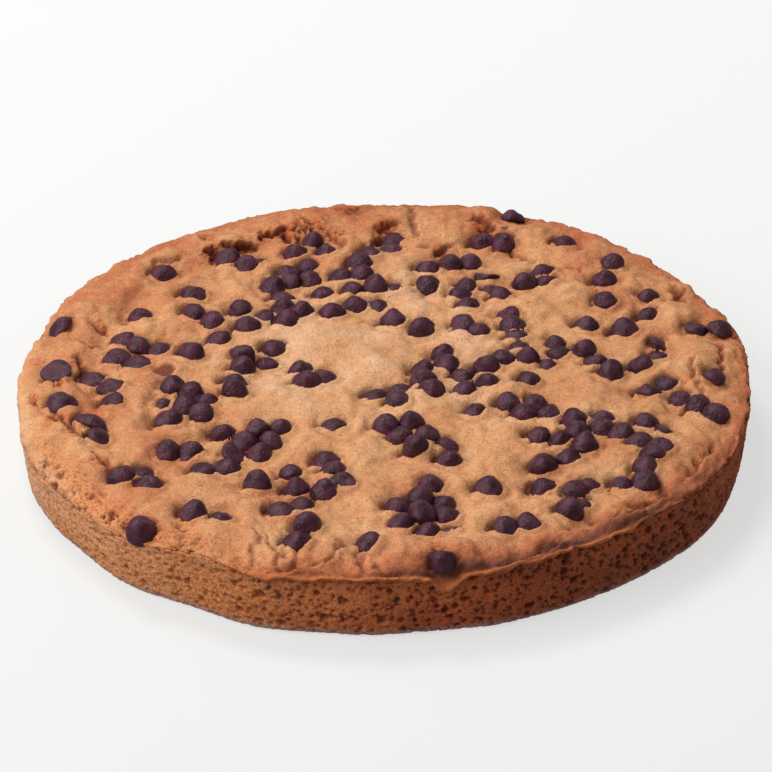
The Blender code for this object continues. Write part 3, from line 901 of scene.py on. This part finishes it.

# %% [markdown]
# ### What the material has to know
# Dough browns where it is thin, high or near the tin, so its colour follows the form. A texture
# would have to be painted to fit, so five numbers are kept on each vertex instead, as attributes:
# how browned it is, which also carries painted light on the left side and painted shade on the
# front right, on the front shoulder and in creases; how much painted shade it gets in hollows,
# holes, gaps and along the chips' edges; how open its crumb; how much of the thin lip; and how
# smeared with chocolate. They follow the surface wherever it goes.

# %% Keep browning with painted light and shade, hollow shade, openness, lip and smear
PALE_SPOT = np.array((-14, 26)) * MM  # where the thick middle baked least
# the pale side is partly less browned crumb and partly painted light; the dark side is partly browner
# and partly painted shade
PALE_LIT_SIDE, DARK_SHADED_SIDE = (214, 56), (305, 50)  # bearing and spread in degrees
# painted shade on the front shoulder above the lip, deepest at the front right
SHADED_FRONT_SHOULDER, DEEPEST_SHOULDER_SHADE = (275, 60), (298, 34)
BACK_LEFT = math.radians(130)


def keep(mesh, name, values):
    """Keeps one number for each vertex, for the material to read."""
    attribute = mesh.attributes.new(name, "FLOAT", "POINT")
    attribute.data.foreach_set("value", np.clip(values, 0, 1).astype(np.float32))


def lit_paleness(bearing):
    """How pale the side is: partly spared the heat, partly painted light on the side that the key light
    falls on.
    """
    return towards(bearing, *PALE_LIT_SIDE)


def side_browning_and_shade(bearing):
    """How browned the side is: pale at the left, darkest at the front right, fair at the back; partly
    real browning, partly painted light at the left and painted shade at the front right.
    """
    return 0.48 - 0.46 * lit_paleness(bearing) + 0.26 * towards(bearing, *DARK_SHADED_SIDE)


# painted shade, darker and redder, in gaps, along the chips' edges, in creases, crumb holes and the
# print of a fallen chip
hollow_shade = np.maximum.reduce([gap, 0.8 * chip_edge_shade, crease_depth, holes, 0.9 * chip_print])
hollow_shade = np.maximum(hollow_shade, open_crumb * in_crumb_hole)
over = np.clip((along - FIELD) / ROLL, 0, 1)
front_shoulder_shade = towards(bearings, *SHADED_FRONT_SHOULDER) * bump(to_edge, 2 * MM, 9 * MM)
from_pale_spot = np.hypot(*(crust_flat - PALE_SPOT).T)
back_left = np.cos(bearings - BACK_LEFT) * ramp(along, 20 * MM, 80 * MM)
browning = (
    0.21
    + 0.22 * ramp(from_pale_spot, 22 * MM, 110 * MM)
    + 0.07 * back_left
    + 1.1 * (side_browning_and_shade(bearings) - 0.25) * over**1.2
    # painted shade on the front shoulder above the lip
    + (0.2 + 0.4 * towards(bearings, *DEEPEST_SHOULDER_SHADE)) * front_shoulder_shade
    + 0.16 * noise_at(crust_flat, 24 * MM, 10, 2)
    # painted shade in the creases
    + 0.15 * crease_depth
    + 0.05 * crumbly
    - 0.1 * ramp(relief, 0, 2 * MM)
)
browning += (side_browning_and_shade(bearings) + 0.08 - browning) * no_lip * ramp(to_edge, 13 * MM, MM)
keep(crust_mesh, "browning", browning)
keep(crust_mesh, "hollow_shade", hollow_shade)
keep(crust_mesh, "openness", np.maximum(crumbly, open_crumb))
keep(crust_mesh, "lip", lip_out * bump(to_edge, 1.0 * MM, 2.8 * MM))
keep(crust_mesh, "smear", smeared(crust_form))
print("the crust is browned", round(browning.mean(), 2), "on average")

# %% [markdown]
# ## The wall
# The wall is the dough that met the tin: nearly upright, drawn in a little to a rounded foot, and
# full of holes. A shader could only paint them, and they would look flat in a low light, so the
# wall is its own closed body under the crust, with faces of half a millimetre, and the holes are
# pressed into it.

# %% Extrude the wall
WALL_SIDES = 1600
WALL_ROWS = 54
# From the underside up: distance in from the edge, and height as a share of the lip's.
WALL_PROFILE = (
    (WALL_DRAFT + FOOT_ROUND, 0),
    (WALL_DRAFT + 0.3 * FOOT_ROUND, 0.3 * FOOT_ROUND / LIP_HEIGHT),
    (WALL_DRAFT, FOOT_ROUND / LIP_HEIGHT),
    (0.35 * WALL_DRAFT, 0.5),
    (0.15 * WALL_DRAFT, 0.94),
    (0.1 * WALL_DRAFT, 0.98),
    (2.5 * MM, 1.0),
    (9 * MM, 0.7),
)
WALL_STARTS = (0, 0.06, 0.12, 0.5, 0.86, 0.91, 0.95, 1)  # where each of those lies from 0 to 1
LIP_FLUSH = 0.5 * MM  # where there is no lip, the wall stands out a little to meet the crust


def flat_wall():
    """The wall spread flat: the radius of each ring, from 1 to 2, says how far up it belongs."""
    bm = bmesh.new()
    bmesh.ops.create_circle(bm, cap_ends=True, segments=WALL_SIDES, radius=1)
    add_rings(bm, np.linspace(1, 2, WALL_ROWS + 1).tolist())
    return bm


def wall_form(flat):
    """Places in space of places on the wall spread flat."""
    bearing, radius = bearing_and_radius(flat)
    inset, height = np.array(WALL_PROFILE).T
    up = radius - 1
    proud = LIP_PROUD * lip_share(bearing) * ramp(up, 0.3, 0.86)
    flush = LIP_FLUSH * ramp(lip_share(bearing), 0.4, 0.1) * ramp(up, 0.7, 0.9)
    out = edge_radius(bearing) - np.interp(up, WALL_STARTS, inset) - proud + flush
    height = np.interp(up, WALL_STARTS, height) * lip_height(bearing)
    return np.column_stack([polar(bearing, out), height])


wall_mesh, wall_flat, wall_places, wall_normals = formed(flat_wall(), "wall", wall_form)
print("the wall has", len(wall_mesh.polygons), "faces")

# %% Press the holes into it
WALL_SWELL, WALL_SWELL_SIZE = 0.4 * MM, 12 * MM
WALL_GRAIN, WALL_GRAIN_SIZE = 0.35 * MM, 1.3 * MM
wall_bearings, wall_up = bearing_and_radius(wall_flat)
wall_up = wall_up - 1
wall_depth, in_wall_hole = crumb_holes(wall_places)
on_side = ramp(wall_up, 0.02, 0.1) * ramp(wall_up, 1, 0.93)
wall_open = 1 - (1 - bare_crumb(wall_bearings)) * ramp(wall_up, -0.2, 0.3)
wall_relief = (
    WALL_SWELL * noise_at(wall_places, WALL_SWELL_SIZE, 16)
    + WALL_GRAIN * noise_at(wall_places, WALL_GRAIN_SIZE, 18, 3)
    - wall_open * wall_depth
)
shaped = wall_places + wall_normals * (on_side * wall_relief)[:, None]
shaped[:, 2] = np.maximum(shaped[:, 2], 0)
place(wall_mesh, shaped)
print(round(100 * in_wall_hole.mean()), "% of the wall is holes")

# %% Keep the wall's five numbers
# painted shade in the wall's holes, lighter on the pale, lit side
wall_hollow_shade = in_wall_hole * on_side * wall_open * (1 - 0.65 * lit_paleness(wall_bearings))
# the side's browning with its painted light and shade, some noise, and darker towards the bottom
wall_browning = (
    side_browning_and_shade(wall_bearings)
    + 0.1 * noise_at(wall_places, 14 * MM, 20)
    + 0.1 * ramp(wall_up, 0.8, 0.2)
)
keep(wall_mesh, "browning", wall_browning)
keep(wall_mesh, "hollow_shade", wall_hollow_shade)
keep(wall_mesh, "openness", on_side * wall_open)
keep(wall_mesh, "lip", np.zeros(len(wall_places)))
keep(wall_mesh, "smear", smeared(wall_places))
print("the wall is browned", round(wall_browning.mean(), 2), "on average")

# %% [markdown]
# ## Materials
# A material starts from what the real surface is. Cookie crust is flour, butter and sugar, browned
# where it got hottest: it is matt, sandy to the eye, and its colour follows the baking. Colours are
# written as the hex values that one would pick from a screen, and one function turns them
# into the linear values that Blender works with.

# %% Helpers for colours and nodes
def linear(hex_colour):
    """Turns an sRGB hex colour such as C08050 into linear red, green, blue and alpha."""
    shares = [int(hex_colour[at : at + 2], 16) / 255 for at in (0, 2, 4)]
    return (*(c / 12.92 if c <= 0.04045 else ((c + 0.055) / 1.055) ** 2.4 for c in shares), 1)


def add(tree, kind, inputs, **settings):
    """Adds a node, with its settings and the values or links of its inputs, and returns its outputs."""
    node = tree.nodes.new(kind)
    for name, value in settings.items():
        setattr(node, name, value)
    for name, value in inputs.items():
        if isinstance(value, bpy.types.NodeSocket):
            tree.links.new(value, node.inputs[name])
        else:
            node.inputs[name].default_value = value
    return node.outputs


def new_material(name):
    """A material, its node tree and the shader in it."""
    made = bpy.data.materials.new(name)
    made.use_nodes = True
    return made, made.node_tree, made.node_tree.nodes["Principled BSDF"]


FACTOR, FIRST, SECOND, MIXED = 0, 6, 7, 2  # the sockets of a Mix node that mixes colours
print("the hex colour C08050 is", [round(share, 3) for share in linear("C08050")])

# %% [markdown]
# ### Baked dough
# The same dough shows everywhere, more or less browned, and its colour is built up in layers. The
# browning attribute, mottled by slow noise, leads through three mixes from pale to dark. Open crumb
# is more golden, the foot turns greyer and paler, and the thin lip is bright orange.
# Fine noise stands for the sandy grain of sugar. Hollows get painted shade, darker and redder,
# because light that falls into them meets dough twice, and so do pores too small for the mesh: a
# noise cut off at a level that follows how open the crumb is. Smears come last. Sugar and crumb
# scatter light every way, so the whole is nearly matt.

# %% Material: browned cookie dough
MOTTLE = 5 * MM  # distance between browner and paler patches
GRAIN = 0.9 * MM  # sugar is finer, and is drawn this coarse so that it shows
PORE = 1.1 * MM
ATTRIBUTES = ("browning", "hollow_shade", "openness", "lip", "smear")
baked, tree, shader = new_material("browned cookie dough")
browning_here, hollow_shade_here, open_here, lip_here, smear_here = (
    add(tree, "ShaderNodeAttribute", {}, attribute_name=name)["Fac"] for name in ATTRIBUTES
)
spot = add(tree, "ShaderNodeTexCoord", {})["Object"]
height_here = add(tree, "ShaderNodeSeparateXYZ", {"Vector": spot})["Z"]
inputs = {"Vector": spot, "Scale": 1 / MOTTLE, "Detail": 5, "Roughness": 0.62}
mottle = add(tree, "ShaderNodeTexNoise", inputs)["Fac"]
grain = add(tree, "ShaderNodeTexNoise", {"Vector": spot, "Scale": 1 / GRAIN, "Detail": 4})["Fac"]
pores = add(tree, "ShaderNodeTexNoise", {"Vector": spot, "Scale": 1 / PORE, "Detail": 2})["Fac"]

inputs = {0: mottle, 1: 0.45, 2: browning_here}
mottled = add(tree, "ShaderNodeMath", inputs, operation="MULTIPLY_ADD")[0]
inputs = {"Value": height_here, "From Min": 4 * MM, "From Max": 1 * MM, "To Max": 0.75}
near_foot = add(tree, "ShaderNodeMapRange", inputs)[0]
inputs = {"Value": grain, "From Min": 0.3, "From Max": 0.7, "To Min": 0.75, "To Max": 1.19}
sandy = add(tree, "ShaderNodeMapRange", inputs)[0]
inputs = {0: open_here, 1: 0.09, 2: pores}
pore_level = add(tree, "ShaderNodeMath", inputs, operation="MULTIPLY_ADD")[0]
inputs = {"Value": pore_level, "From Min": 0.67, "From Max": 0.73}
pore = add(tree, "ShaderNodeMapRange", inputs)[0]
# painted shade in hollows, and in pores too small for the mesh
inputs = {"Value": hollow_shade_here, "From Min": 0.1, "From Max": 0.9}
in_hollow_shade = add(tree, "ShaderNodeMapRange", inputs)[0]
pore_shade = add(tree, "ShaderNodeMath", {0: pore, 1: 0.45}, operation="MULTIPLY")[0]
in_shade = add(tree, "ShaderNodeMath", {0: pore_shade, 1: in_hollow_shade}, operation="MAXIMUM")[0]
print("the dough reads", len(ATTRIBUTES), "numbers from each vertex")

# %% Lay its colours over each other
STAGES = (("D29766", 0.225, 0.525), ("B96A40", 0.525, 0.825), ("6C3829", 0.825, 1.225))
layers = []  # how much of each, its colour, and how it is laid on
for darker, start, stop in STAGES:
    inputs = {"Value": mottled, "From Min": start, "From Max": stop}
    layers.append((add(tree, "ShaderNodeMapRange", inputs)[0], linear(darker), "MIX"))
layers += [
    (open_here, linear("FBD7B8"), "MULTIPLY"),
    # the foot turns greyer and paler towards the bottom
    (near_foot, linear("AC908C"), "MIX"),
    (lip_here, linear("C06A36"), "MIX"),
    (1.0, sandy, "MULTIPLY"),
    # painted shade: hollows, gaps, creases and pores are multiplied darker and redder
    (in_shade, linear("94706A"), "MULTIPLY"),
    (smear_here, linear("462424"), "MIX"),
]
colour = linear("E0B592")
for share, layer, way in layers:
    inputs = {FACTOR: share, FIRST: colour, SECOND: layer}
    colour = add(tree, "ShaderNodeMix", inputs, data_type="RGBA", blend_type=way)[MIXED]
tree.links.new(colour, shader.inputs["Base Color"])

shader.inputs["Roughness"].default_value = 0.82
shader.inputs["IOR"].default_value = 1.45
height = add(tree, "ShaderNodeMath", {0: pore, 1: -0.5, 2: grain}, operation="MULTIPLY_ADD")[0]
bumps = add(tree, "ShaderNodeBump", {"Height": height, "Distance": 0.5 * MM, "Strength": 0.9})[0]
tree.links.new(bumps, shader.inputs["Normal"])
print(baked.name, "has", len(layers), "layers of colour")

# %% [markdown]
# ### Dark chocolate
# Tempered chocolate is smooth and satin, and baking leaves it finely wrinkled, with a faint
# grey-violet bloom of cocoa butter on its top. Its IOR is near 1.45, like that of most fats.

# %% Material: baked dark chocolate
BLOOM = 4 * MM
CHIP_WRINKLE = 1 * MM
chocolate, tree, shader = new_material("baked dark chocolate")
spot = add(tree, "ShaderNodeTexCoord", {})["Object"]
bloom = add(tree, "ShaderNodeTexNoise", {"Vector": spot, "Scale": 1 / BLOOM, "Detail": 2})["Fac"]
bloom = add(tree, "ShaderNodeMapRange", {"Value": bloom, "From Min": 0.35, "From Max": 0.7})[0]
inputs = {FACTOR: bloom, FIRST: linear("35151F"), SECOND: linear("5A2D3E")}
colour = add(tree, "ShaderNodeMix", inputs, data_type="RGBA")[MIXED]
tree.links.new(colour, shader.inputs["Base Color"])
inputs = {"Vector": spot, "Scale": 1 / CHIP_WRINKLE, "Detail": 3}
wrinkles = add(tree, "ShaderNodeTexNoise", inputs)["Fac"]
bumps = add(tree, "ShaderNodeBump", {"Height": wrinkles, "Distance": 0.6 * MM, "Strength": 0.9})[0]
tree.links.new(bumps, shader.inputs["Normal"])
shader.inputs["Roughness"].default_value = 0.36
shader.inputs["Specular IOR Level"].default_value = 0.3
shader.inputs["IOR"].default_value = 1.45
print("made", chocolate.name)

# %% [markdown]
# ## The three pieces
# Crust, wall and chips become objects at the origin, unturned, because their places are in their
# meshes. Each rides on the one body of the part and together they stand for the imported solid.

# %% Dress the pieces
def add_piece(name, mesh, made_of):
    """A shown piece of the cake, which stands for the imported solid."""
    mesh.shade_smooth()
    mesh.materials.append(made_of)
    piece = bpy.data.objects.new(name, mesh)
    bpy.context.scene.collection.objects.link(piece)
    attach(piece, "root")
    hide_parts("cookie_cake")
    return piece


crust = add_piece("crust", crust_mesh, baked)
wall = add_piece("wall", wall_mesh, baked)
chips = add_piece("chocolate_chips", chips_mesh, chocolate)
for piece in (crust, wall, chips):
    piece.data.calc_loop_triangles()
    print(piece.name, len(piece.data.loop_triangles), "triangles")

# %% [markdown]
# ## Floor and light
# The floor is a white sheet that is lit from below, as on a product table: it glows a little, more
# towards the back, so it stays near white and still takes the cake's shadow. A lit paper sheet would
# need lights so strong that the crust bleached. The glow is hidden from the cake itself.

# %% Lay the floor
FLOOR_DROP = 0.05 * MM  # below the foot, so that the two don't flicker
backdrop, tree, shader = new_material("glowing white backdrop")
spot = add(tree, "ShaderNodeTexCoord", {})["Object"]
back_along = add(tree, "ShaderNodeSeparateXYZ", {"Vector": spot})["Y"]
inputs = {"Value": back_along, "From Min": -0.25, "From Max": 0.45, "To Min": 0.59, "To Max": 0.68}
tree.links.new(add(tree, "ShaderNodeMapRange", inputs)[0], shader.inputs["Emission Strength"])
shader.inputs["Emission Color"].default_value = linear("FFFFFD")
shader.inputs["Base Color"].default_value = linear("8A8A8A")
shader.inputs["Roughness"].default_value = 0.9
shader.inputs["Specular IOR Level"].default_value = 0

floor_bm = bmesh.new()
bmesh.ops.create_circle(floor_bm, cap_ends=True, segments=64, radius=6)
bmesh.ops.translate(floor_bm, verts=floor_bm.verts, vec=(0, 0, -FLOOR_DROP))
floor_mesh = mesh_from(floor_bm, "floor")
floor_mesh.materials.append(backdrop)
floor = bpy.data.objects.new("floor", floor_mesh)
bpy.context.scene.collection.objects.link(floor)
floor.visible_diffuse = False
floor.visible_glossy = False
print("the floor is", round(floor.dimensions.x), "m across")

# %% [markdown]
# A large soft light low at the left rakes over the lumps and leaves the right of the wall in shade,
# as a window would. A smaller one, high at the back left, sharpens the crests, and the world adds a
# little light from all round.


# %% Light it
def soft_light(name, bearing, elevation, distance, size, watts):
    """A square area light that points at the cake, at a bearing and an elevation in degrees."""
    light = bpy.data.objects.new(name, bpy.data.lights.new(name, "AREA"))
    light.data.size = size
    light.data.energy = watts
    bearing, elevation = math.radians(bearing), math.radians(elevation)
    way = Vector((*polar(bearing, math.cos(elevation)), math.sin(elevation)))
    light.location = distance * way
    light.rotation_euler = way.to_track_quat("Z", "Y").to_euler()
    bpy.context.scene.collection.objects.link(light)


soft_light("key", 202, 41, 1.6, 1.2, 20)
soft_light("high", 122, 62, 1.6, 0.5, 11.5)
world = bpy.data.worlds.new("studio")
world.use_nodes = True
world.node_tree.nodes["Background"].inputs["Color"].default_value = linear("FAF9F8")
world.node_tree.nodes["Background"].inputs["Strength"].default_value = 0.35
bpy.context.scene.world = world
bpy.context.scene.view_settings.view_transform = "Standard"
print(len(bpy.data.lights), "lights")
